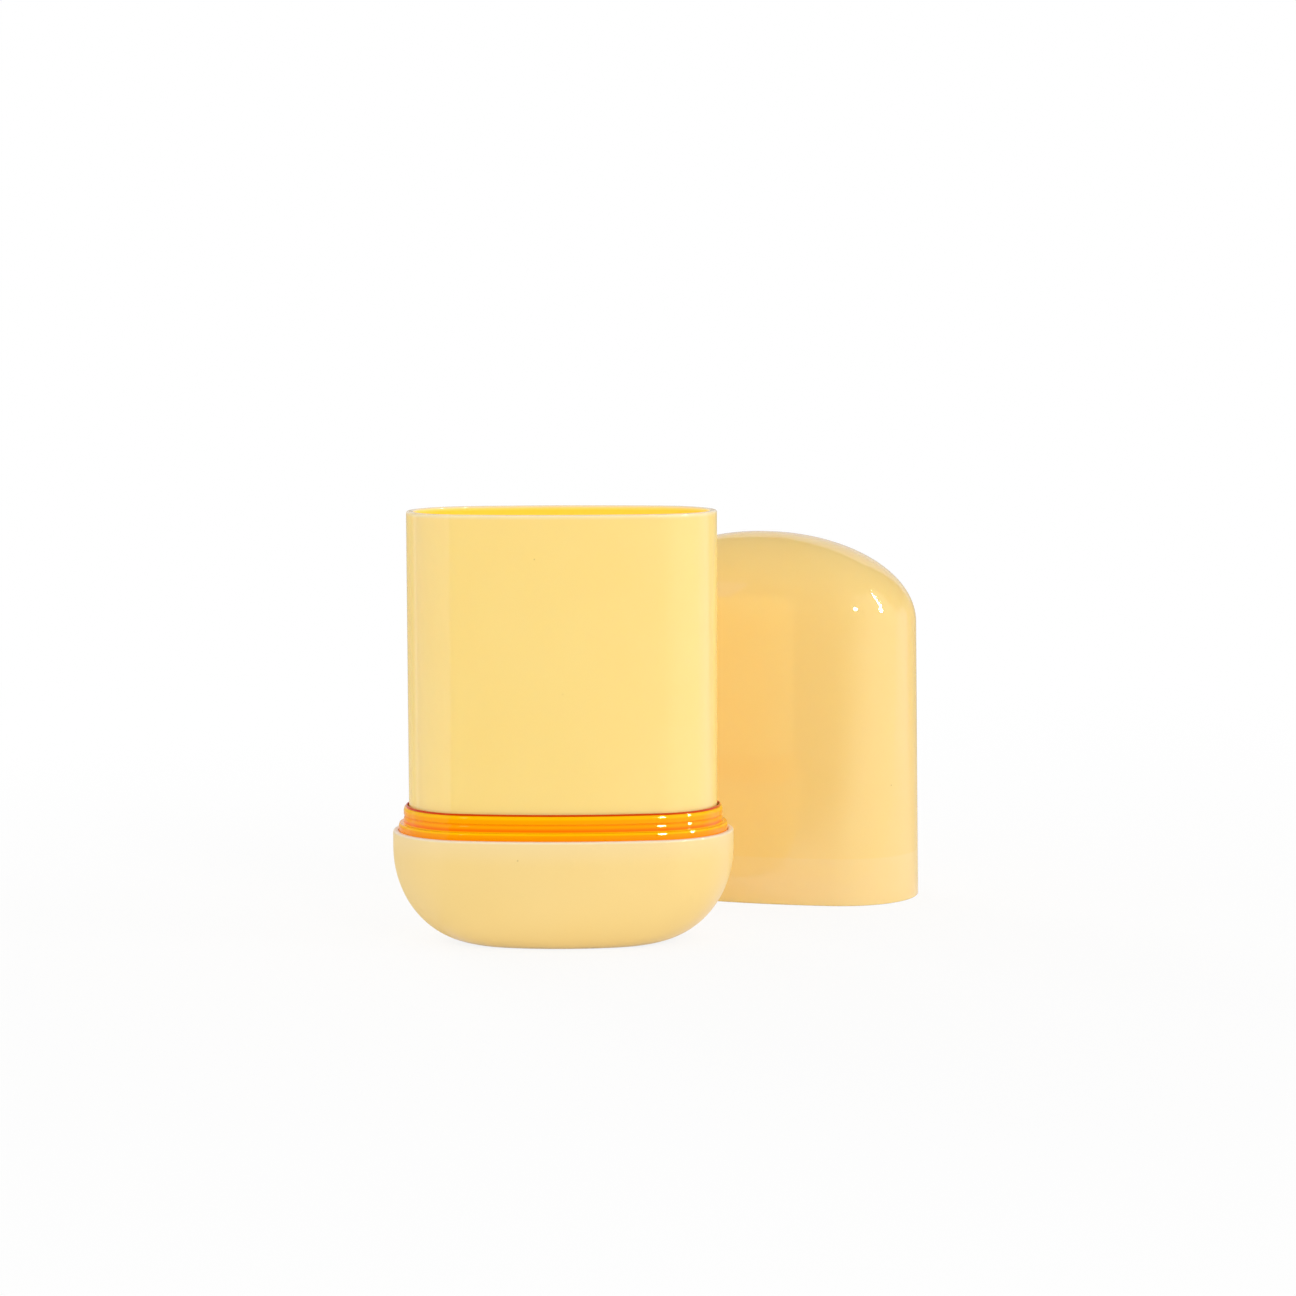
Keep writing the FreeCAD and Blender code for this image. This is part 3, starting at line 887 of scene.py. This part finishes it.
def plastic(name, rgb, roughness, skin, relief=FAINT_RELIEF, shader=None, inside=None,
            bands=()):
    """A moulded plastic: the skin group feeds one plain shader."""
    material, w = new_material(name)
    outer = (*rgb, 1)
    glow = {}
    if inside:
        # The inner wall is tinted with painted bounce light.
        mask = w.group(hollow_side, {"Middle": inside.middle})["Inside"]
        outer = w.tint(outer, mask, inside.rgb)
        # A painted emission on the inner wall, standing in for light that comes through it.
        if inside.glow:
            glow = {"Emission Color": w.tint((0, 0, 0, 1), mask, inside.rgb),
                    "Emission Strength": inside.glow}
    # Each band paints light or shade between two heights; the top-edge bands also stand for paler
    # thin plastic.
    for band in bands:
        mask = w.group(height_band, {
            "Low": band.low, "High": band.high, "Fade": band.fade, "Amount": band.amount})
        outer = w.tint(outer, mask["Band"], band.rgb)
    varied = w.group(moulded_skin, {"Colour": outer, "Roughness": roughness, **skin})
    bump = w.add("ShaderNodeBump", {
        "Strength": 1.0, "Distance": relief, "Height": varied["Height"]})
    surface = w.add("ShaderNodeBsdfPrincipled", {
        "Base Color": varied["Colour"],
        "Roughness": varied["Roughness"],
        "Normal": bump.outputs[0],
        **glow,
        **(shader or {})})
    w.add("ShaderNodeOutputMaterial", {"Surface": surface.outputs[0]})
    return material


def translucent(weight, depth):
    """Shader settings for a glossy plastic that light enters."""
    return {"IOR": 1.58, "Subsurface Weight": weight, "Subsurface Scale": depth,
            "Subsurface Radius": WARM_SPREAD}


# How a skin varies: its grain and its waves are shares of the relief's depth.
GLOSSY = {"Grain": 0.03, "Waviness": 0.6}
SATIN = {"Grain": 0.35, "Waviness": 0.2, "Roughness Spread": 0.05}
PLAIN = {"Grain": 0.2}


def pale_edge(settings, level, depth, amount):
    """The paler band along a top edge: a painted highlight where the edge faces up, and partly the
    paler look of the thin plastic there.
    """
    return Band(settings.colours.thin_edge, low=level, high=level + depth, fade=depth,
                amount=amount)


def base_plastic(settings):
    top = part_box("base_shell")[1][2]
    # Painted light: paler towards the top, a little over the top 5 mm and strongly on the lip's
    # edge, where it stands in for a highlight.
    edges = [pale_edge(settings, top, depth=5 * MM, amount=0.12),
             pale_edge(settings, top, depth=0.5 * MM, amount=0.6)]
    return plastic("base_plastic", settings.colours.base, roughness=0.34, skin=SATIN,
                   relief=0.02 * MM, bands=edges)


def collar_plastic(settings):
    """Deep orange, with painted light and shade: painted light makes the upper edges yellower,
    painted shade makes the ribs redder low down and in the groove, and a painted shadow darkens the
    lip.
    """
    colours, sizes = settings.colours, settings.collar
    # The colours of the painted shade and of the painted light on the ribs.
    painted_shade, crown = colours.collar_deep, colours.collar_crown
    top, flange_top = collar_top(settings), collar_flange_top(settings)
    groove_top = top - sizes.upper_rib
    groove_bottom = groove_top - sizes.groove_height
    bands = [
        # Painted shade: redder just above the flange, low on the flange's face, and in the groove.
        Band(painted_shade, low=flange_top, high=flange_top + 0.35 * MM, fade=0.7 * MM, amount=0.85),
        Band(painted_shade, low=flange_top - 2 * MM, high=flange_top - 0.9 * MM, fade=0.5 * MM, amount=0.3),
        Band(painted_shade, low=groove_bottom, high=groove_top, fade=0.25 * MM, amount=0.25),
        # Painted light: yellower at the top of the upper rib and along the flange's top edge.
        Band(crown, low=top - 0.3 * MM, high=top, fade=0.5 * MM, amount=0.8),
        Band(crown, low=flange_top - 0.2 * MM, high=flange_top + 0.01 * MM, fade=0.3 * MM,
             amount=0.9),
        # Painted shadow of the gap round the sleeve, on the thin lip.
        Band(colours.seam, low=top + 0.05 * MM, high=top + sizes.lip_height, fade=0.03 * MM,
             amount=1.0),
    ]
    return plastic("collar_plastic", colours.collar, roughness=0.07, skin=GLOSSY, bands=bands,
                   shader={"IOR": 1.42, "Specular Tint": (1.0, 0.85, 0.4, 1.0)})


def sleeve_plastic(settings):
    """Yellow, with a paler rim that is partly a painted highlight, and painted bounce light on the
    inner wall: a deeper shade and a faint painted emission.
    """
    # The rim: a painted highlight, partly also the paler look of the thin plastic.
    rim = pale_edge(settings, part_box("sleeve")[1][2], depth=1 * MM, amount=0.4)
    # The inner wall: painted bounce light and a faint painted emission.
    inside = Inside(settings.colours.sleeve_inside, middle_of("sleeve"), glow=0.2)
    return plastic("sleeve_plastic", settings.colours.sleeve, roughness=0.06, skin=GLOSSY,
                   shader=translucent(weight=0.35, depth=0.8 * MM), inside=inside, bands=[rim])


def cap_plastic(settings):
    """Amber, with a faint painted reflection of the floor low on the cap, over the grip band, and
    painted bounce light on the inner wall.
    """
    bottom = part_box("cap")[0][2]
    # A faint painted reflection: paler over the height of the grip band.
    grip = Band(settings.colours.thin_edge, low=bottom, high=bottom + settings.cap.grip_height,
                fade=0.5 * MM, amount=0.06)
    # The inner wall: painted bounce light.
    inside = Inside(settings.colours.cap_inside, middle_of("cap"))
    return plastic("cap_plastic", settings.colours.cap, roughness=0.06, skin=GLOSSY,
                   shader=translucent(weight=0.45, depth=1 * MM), inside=inside, bands=[grip])


# ---- Pieces --------------------------------------------------------------------------


def make_base(settings):
    finish = base_plastic(settings)
    bowl = turned_shell("base_bowl", base_section(settings), finish)
    stand_in_for(bowl, "case", "base_plastic", "base_shell")

    sizes = settings.base
    places = [(side * sizes.post_spread_width, end * sizes.post_spread_depth, 0)
              for side in (-1, 1) for end in (-1, 1)]
    mesh = bpy.data.meshes.new("base_posts")
    mesh.from_pydata(places, [], [])
    posts = placed("base_posts", mesh)
    post = turned_shell("post_pattern", post_section(settings), finish, coarser=4)
    grown_mesh(posts, posts_on_floor, {
        "Post": post, "Floor": bowl, "Foot Level": sizes.post_foot, "Sink": sizes.post_sink,
        "Finish": finish})
    bpy.data.objects.remove(post)
    stand_in_for(posts, "case", "base_plastic", "base_shell")


def make_collar(settings):
    collar = turned_shell("collar_ring", collar_section(settings), collar_plastic(settings))
    stand_in_for(collar, "case", "collar_plastic", "collar")


def make_sleeve(settings):
    sleeve = turned_shell("sleeve_shell", sleeve_section(settings), sleeve_plastic(settings))
    stand_in_for(sleeve, "sleeve", "sleeve_plastic", "sleeve")


def make_cap(settings):
    cap = turned_shell("cap_dome", cap_section(settings), cap_plastic(settings))
    turn = Matrix.Rotation(settings.cap.yaw, 4, "Z")
    cap.data.transform(Matrix.Translation(middle_of("cap").to_2d().to_3d()) @ turn)
    stand_in_for(cap, "cap", "cap_plastic", "cap")


def finish_mechanism(settings):
    colours = settings.colours
    inner = plastic("inner_plastic", colours.inner, roughness=0.38, skin=PLAIN)
    carrier = plastic("carrier_plastic", colours.carrier, roughness=0.3, skin=PLAIN)
    dial = plastic("dial_plastic", colours.dial, roughness=0.25, skin=PLAIN)
    rubber = plastic("seal_rubber", colours.rubber, roughness=0.6, skin={"Grain": 0.5})
    steel = plastic("clip_steel", colours.steel, roughness=0.3, skin={"Grain": 0.3},
                    relief=0.005 * MM, shader={"Metallic": 1.0})
    finishes = {
        "chassis": inner, "spindle": inner, "elevator": carrier, "dial": dial,
        "drag_ring": rubber, "dial_clip": steel, "spindle_clip": steel,
    }
    for node, finish in finishes.items():
        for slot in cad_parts[node].material_slots:
            slot.material = finish


# ---- Studio --------------------------------------------------------------------------

# Where the room's edges lie in the gloss, in degrees of azimuth or elevation.
LEFT_EDGE = -41.0
RIGHT_EDGE = 94.0
CARD_EDGE = -115.0
BACK_EDGE = 112.0
WALL_FADE = 15.0
DARK_WALL_FOOT = 8.0
DARK_WALL_FULL = 20.0
BACK_WALL_EDGE = 147.0
BACK_WALL_FOOT = 6.0
BACK_WALL_TOP = 38.0
BACK_WALL_SIDE_FADE = 4.0
BACK_WALL_FADE = 3.0
CEILING_EDGE = 46.0
SOFT_EDGE = 1.0

# What the gloss shows of the room: the front brightens from its darkest to the right.
FRONT_DARKEST = 0.08
FRONT_RISE = 0.9
FRONT_BRIGHTEST_AT = 62.0
SIDE_WALL = (0.95, 1.0, 1.35, 1)
WALL_BEHIND = (0.55, 0.48, 0.38)
DARK_WALL = (0.15, 0.15, 0.15)
BACK_WALL = (0.7, 0.7, 0.8)
LEFT_CARD = (0.4, 0.45, 0.9)
DIM_CEILING = (0.2, 0.2, 0.2)

# The lamps in the gloss. The strip leans to the right and narrows as it rises.
FRONT_SPOT = {"at_azimuth": 25.5, "at_elevation": 26.0, "half_size": 2.0}
LEFT_SPOT = {"at_azimuth": -26.5, "at_elevation": 26.5, "half_size": 1.0}
LEFT_SPOT_SHARE = 0.02
STRIP_FOOT = 63.3
STRIP_LEAN = 0.3
STRIP_BOTTOM = 19.5
STRIP_TOP = 46.0
STRIP_HALF_WIDTH = 4.1
STRIP_TAPER = -0.085
STRIP_SHARE = 0.5

# The floor is partly plain white and partly paper that takes the shadow. The share of white is
# least near the case. In the gloss, the floor in front is as dark as the room's front.
FLOOR_REACH = 6.0
PAPER_COLOUR = (0.93, 0.93, 0.93, 1)
LEAST_SEEN_WHITE = 0.86
LEAST_GLOSS_WHITE = 0.65
WHITENS_FROM = 0.1
WHOLLY_WHITE_AT = 0.45
DARK_FLOOR_CORNER = (-26 * MM, -8 * MM, 0)
DARK_FLOOR_EDGE = -22 * MM

# The camera stands in front, a little to the right, and looks down at the case. Angles are in
# degrees, and the lamps aim at a point between the case and its cap.
CAMERA_PLACE = (0.01582, -0.6534, 0.1228)
CAMERA_PITCH = -5.99
CAMERA_ROLL = -0.193
SENSOR_WIDTH = 36
LAMPS_AIM = Vector((0.02, 0.02, 0.04))


def direction(azimuth, elevation):
    """A direction from the object. Azimuth 0 is the front and grows to the right."""
    a, e = math.radians(azimuth), math.radians(elevation)
    return Vector((math.sin(a) * math.cos(e), -math.cos(a) * math.cos(e), math.sin(e)))


def room_in_gloss():
    """Group: the room that the gloss shows, in each direction from the case.

    The front is dark and brightens to the right, with a cool card at its left. The side walls
    are pale and those behind are brown near the floor, and both are dark higher up, apart from
    a grey back wall. The ceiling is dim. Three lamps hang in it: a spot at the front right, a
    tall strip further round, and a very faint spot at the front left.
    """
    tree, w, given = new_group("room_in_gloss", "ShaderNodeTree", [
        ("Direction", "Vector"), ("Gleam", "Float"),
    ], [("Light", "Color"), ("Front", "Float"), ("Ceiling", "Float")])
    x, y, z = w.parts(w.vector_math("NORMALIZE", given["Direction"]))
    azimuth = w.math("DEGREES", w.math("ARCTAN2", x, y * -1))
    elevation = w.math("DEGREES", w.math("ARCSINE", z))

    def between(value, low, high, fade):
        return w.rise(value, low - fade, low) * (1 - w.rise(value, high, high + fade))

    def spot(at_azimuth, at_elevation, half_size):
        sideways = (azimuth - at_azimuth) * math.cos(math.radians(at_elevation))
        off = w.math("SQRT", sideways * sideways + w.math("POWER", elevation - at_elevation, 2))
        return 1 - w.rise(off, half_size, half_size + SOFT_EDGE)

    ceiling = w.rise(elevation, CEILING_EDGE, CEILING_EDGE + SOFT_EDGE)
    front = between(azimuth, LEFT_EDGE, RIGHT_EDGE, SOFT_EDGE)
    left_card = between(azimuth, CARD_EDGE, LEFT_EDGE - SOFT_EDGE, SOFT_EDGE)
    behind = 1 - between(azimuth, CARD_EDGE, BACK_EDGE, WALL_FADE)
    front_light = w.rise(azimuth, 0.0, FRONT_BRIGHTEST_AT) * FRONT_RISE + FRONT_DARKEST
    back_wall = ((1 - between(azimuth, -BACK_WALL_EDGE, BACK_WALL_EDGE, BACK_WALL_SIDE_FADE))
                 * between(elevation, BACK_WALL_FOOT, BACK_WALL_TOP, BACK_WALL_FADE))
    light = w.tint(SIDE_WALL, behind, WALL_BEHIND)
    light = w.tint(light, w.rise(elevation, DARK_WALL_FOOT, DARK_WALL_FULL), DARK_WALL)
    light = w.tint(light, back_wall, BACK_WALL)
    light = w.tint(light, left_card, LEFT_CARD)
    light = w.blend(light, front, w.vector(front_light, front_light, front_light))
    light = w.tint(light, ceiling, DIM_CEILING)

    strip_middle = elevation * STRIP_LEAN + STRIP_FOOT
    strip_width = elevation * STRIP_TAPER + STRIP_HALF_WIDTH
    strip = (between(azimuth - strip_middle, strip_width * -1, strip_width, SOFT_EDGE)
             * between(elevation, STRIP_BOTTOM, STRIP_TOP, SOFT_EDGE))
    lamps = spot(**FRONT_SPOT) + strip * STRIP_SHARE + spot(**LEFT_SPOT) * LEFT_SPOT_SHARE
    gleam = lamps * Term(w, given["Gleam"])
    light = w.blend(light, 1.0, w.vector(gleam, gleam, gleam), "ADD")
    w.add("NodeGroupOutput", {"Light": light, "Front": front, "Ceiling": ceiling})
    return tree


def seen_or_reflected(w):
    """Light path masks: rays that see the white background, and rays straight off gloss."""
    path = w.add("ShaderNodeLightPath").outputs
    seen = Term(w, path["Is Camera Ray"]) + Term(w, path["Is Transmission Ray"])
    straight = w.math("LESS_THAN", path["Diffuse Depth"], 0.5)
    return w.math("MINIMUM", seen, 1.0), Term(w, path["Is Glossy Ray"]) * straight


def make_world(settings):
    """White to look at, a room with a dark front to reflect, and even light from all round."""
    studio = settings.studio
    world = bpy.data.worlds.new("studio")
    bpy.context.scene.world = world
    world.use_nodes = True
    world.node_tree.nodes.clear()
    w = Wiring(world.node_tree)
    seen, reflected = seen_or_reflected(w)
    towards = w.add("ShaderNodeTexCoord").outputs["Generated"]
    room = w.group(room_in_gloss, {"Direction": towards, "Gleam": studio.gleam})
    walls = (w.parts(towards)[0] * studio.lean + 1.0) * studio.daylight
    even = w.pick(Term(w, room["Ceiling"]), studio.ceiling_light, walls)
    plain = w.pick(seen, 1.0, even)
    light = w.blend(w.vector(plain, plain, plain), reflected, room["Light"])
    background = w.add("ShaderNodeBackground", {"Color": light})
    w.add("ShaderNodeOutputWorld", {"Surface": background.outputs[0]})


def paper_white():
    """White paper that keeps a light shadow near the object and is plain white further off."""
    material, w = new_material("paper_white")
    seen, reflected = seen_or_reflected(w)
    place = w.add("ShaderNodeTexCoord").outputs["Object"]
    further = w.rise(w.vector_measure("LENGTH", place), WHITENS_FROM, WHOLLY_WHITE_AT)
    seen_white = further * (1 - LEAST_SEEN_WHITE) + LEAST_SEEN_WHITE
    gloss_white = further * (1 - LEAST_GLOSS_WHITE) + LEAST_GLOSS_WHITE

    from_corner = w.vector_math("SUBTRACT", place, DARK_FLOOR_CORNER)
    room = w.group(room_in_gloss, {"Direction": from_corner, "Gleam": 0.0})
    beyond_edge = w.math("LESS_THAN", w.parts(place)[1], DARK_FLOOR_EDGE)
    dark_front = beyond_edge * Term(w, room["Front"])
    in_gloss = w.math("MAXIMUM", dark_front, gloss_white)

    paper = w.add("ShaderNodeBsdfDiffuse", {"Color": PAPER_COLOUR})
    shown = w.blend((1, 1, 1, 1), reflected, room["Light"])
    white = w.add("ShaderNodeEmission", {"Color": shown})
    share = seen * seen_white + reflected * in_gloss
    mixed = w.add("ShaderNodeMixShader", {"Fac": share})
    w.feed(mixed.inputs[1], paper.outputs[0])
    w.feed(mixed.inputs[2], white.outputs[0])
    w.add("ShaderNodeOutputMaterial", {"Surface": mixed.outputs[0]})
    return material


def make_floor():
    mesh = bpy.data.meshes.new("floor")
    corners = [(x * FLOOR_REACH, y * FLOOR_REACH, 0)
               for x, y in ((-1, -1), (1, -1), (1, 1), (-1, 1))]
    mesh.from_pydata(corners, [], [(0, 1, 2, 3)])
    mesh.materials.append(paper_white())
    placed("floor", mesh)


def add_lamp(name, azimuth, elevation, distance, size, radiance):
    """A rectangular lamp that faces the object, with a brightness that its size doesn't change."""
    lamp = bpy.data.lights.new(name, "AREA")
    lamp.shape = "RECTANGLE"
    lamp.size, lamp.size_y = size
    lamp.energy = radiance * math.pi * size[0] * size[1]
    holder = placed(name, lamp)
    towards = direction(azimuth, elevation)
    holder.location = LAMPS_AIM + towards * distance
    holder.rotation_euler = towards.to_track_quat("Z", "Y").to_euler()
    holder.visible_camera = False
    holder.visible_glossy = False


def make_camera(studio):
    data = bpy.data.cameras.new("camera")
    data.lens = studio.lens
    data.sensor_width = SENSOR_WIDTH
    camera = placed("camera", data)
    tilt = Matrix.Rotation(math.radians(90 + CAMERA_PITCH), 4, "X")
    roll = Matrix.Rotation(math.radians(CAMERA_ROLL), 4, "Z")
    camera.matrix_world = Matrix.Translation(CAMERA_PLACE) @ tilt @ roll
    bpy.context.scene.camera = camera


def make_stage(settings):
    studio = settings.studio
    make_camera(studio)
    make_world(settings)
    make_floor()
    add_lamp("front_lamp", azimuth=27, elevation=26, distance=1.4, size=(0.22, 0.22),
             radiance=studio.front_lamp)
    add_lamp("side_lamp", azimuth=72, elevation=33, distance=1.2, size=(0.4, 0.6),
             radiance=studio.side_lamp)
    add_lamp("back_lamp", azimuth=-150, elevation=12, distance=0.8, size=(0.3, 0.4),
             radiance=studio.back_lamp)
    bpy.context.scene.view_settings.view_transform = "Standard"


# ---- Add-on --------------------------------------------------------------------------


class STICK_OT_make_stage(bpy.types.Operator):
    """Add the camera, the lamps, the room and the white floor"""

    bl_idname = "stick_case.make_stage"
    bl_label = "Studio"

    def execute(self, context):
        make_stage(context.scene.stick_case)
        return {"FINISHED"}


class STICK_OT_make_base(bpy.types.Operator):
    """Build the bowl-shaped base and its chassis posts"""

    bl_idname = "stick_case.make_base"
    bl_label = "Base"

    def execute(self, context):
        make_base(context.scene.stick_case)
        return {"FINISHED"}


class STICK_OT_make_collar(bpy.types.Operator):
    """Build the stepped collar"""

    bl_idname = "stick_case.make_collar"
    bl_label = "Collar"

    def execute(self, context):
        make_collar(context.scene.stick_case)
        return {"FINISHED"}


class STICK_OT_make_sleeve(bpy.types.Operator):
    """Build the open sleeve"""

    bl_idname = "stick_case.make_sleeve"
    bl_label = "Sleeve"

    def execute(self, context):
        make_sleeve(context.scene.stick_case)
        return {"FINISHED"}


class STICK_OT_make_cap(bpy.types.Operator):
    """Build the domed cap"""

    bl_idname = "stick_case.make_cap"
    bl_label = "Cap"

    def execute(self, context):
        make_cap(context.scene.stick_case)
        return {"FINISHED"}


class STICK_OT_finish_mechanism(bpy.types.Operator):
    """Finish the dial, the spindle, the elevator and the small inner pieces"""

    bl_idname = "stick_case.finish_mechanism"
    bl_label = "Mechanism"

    def execute(self, context):
        finish_mechanism(context.scene.stick_case)
        return {"FINISHED"}


OPERATORS = (
    STICK_OT_make_stage,
    STICK_OT_make_base,
    STICK_OT_make_collar,
    STICK_OT_make_sleeve,
    STICK_OT_make_cap,
    STICK_OT_finish_mechanism,
)


class STICK_PT_pieces(bpy.types.Panel):
    """The steps that build the stick case, in order, and what each of them reads"""

    bl_idname = "STICK_PT_pieces"
    bl_label = "Stick Case"
    bl_space_type = "VIEW_3D"
    bl_region_type = "UI"
    bl_category = "Stick Case"

    def draw(self, context):
        layout = self.layout
        for operator in OPERATORS:
            layout.operator(operator.bl_idname)
        settings = context.scene.stick_case
        for group in ("sleeve", "collar", "base", "cap", "fineness", "colours", "studio"):
            box = layout.box()
            box.label(text=group.capitalize())
            values = getattr(settings, group)
            for name in values.bl_rna.properties.keys():
                if name not in ("rna_type", "name"):
                    box.prop(values, name)


CLASSES = (
    StickCaseSleeveSizes,
    StickCaseCollarSizes,
    StickCaseBaseSizes,
    StickCaseCapSizes,
    StickCaseFineness,
    StickCaseColours,
    StickCaseStudio,
    StickCaseSettings,
    *OPERATORS,
    STICK_PT_pieces,
)


def register():
    for kind in CLASSES:
        bpy.utils.register_class(kind)
    bpy.types.Scene.stick_case = PointerProperty(type=StickCaseSettings)


def unregister():
    del bpy.types.Scene.stick_case
    for kind in reversed(CLASSES):
        bpy.utils.unregister_class(kind)


def main():
    register()
    steps = bpy.ops.stick_case
    steps.make_stage()
    steps.make_base()
    steps.make_collar()
    steps.make_sleeve()
    steps.make_cap()
    steps.finish_mechanism()


if __name__ == "__main__":
    main()
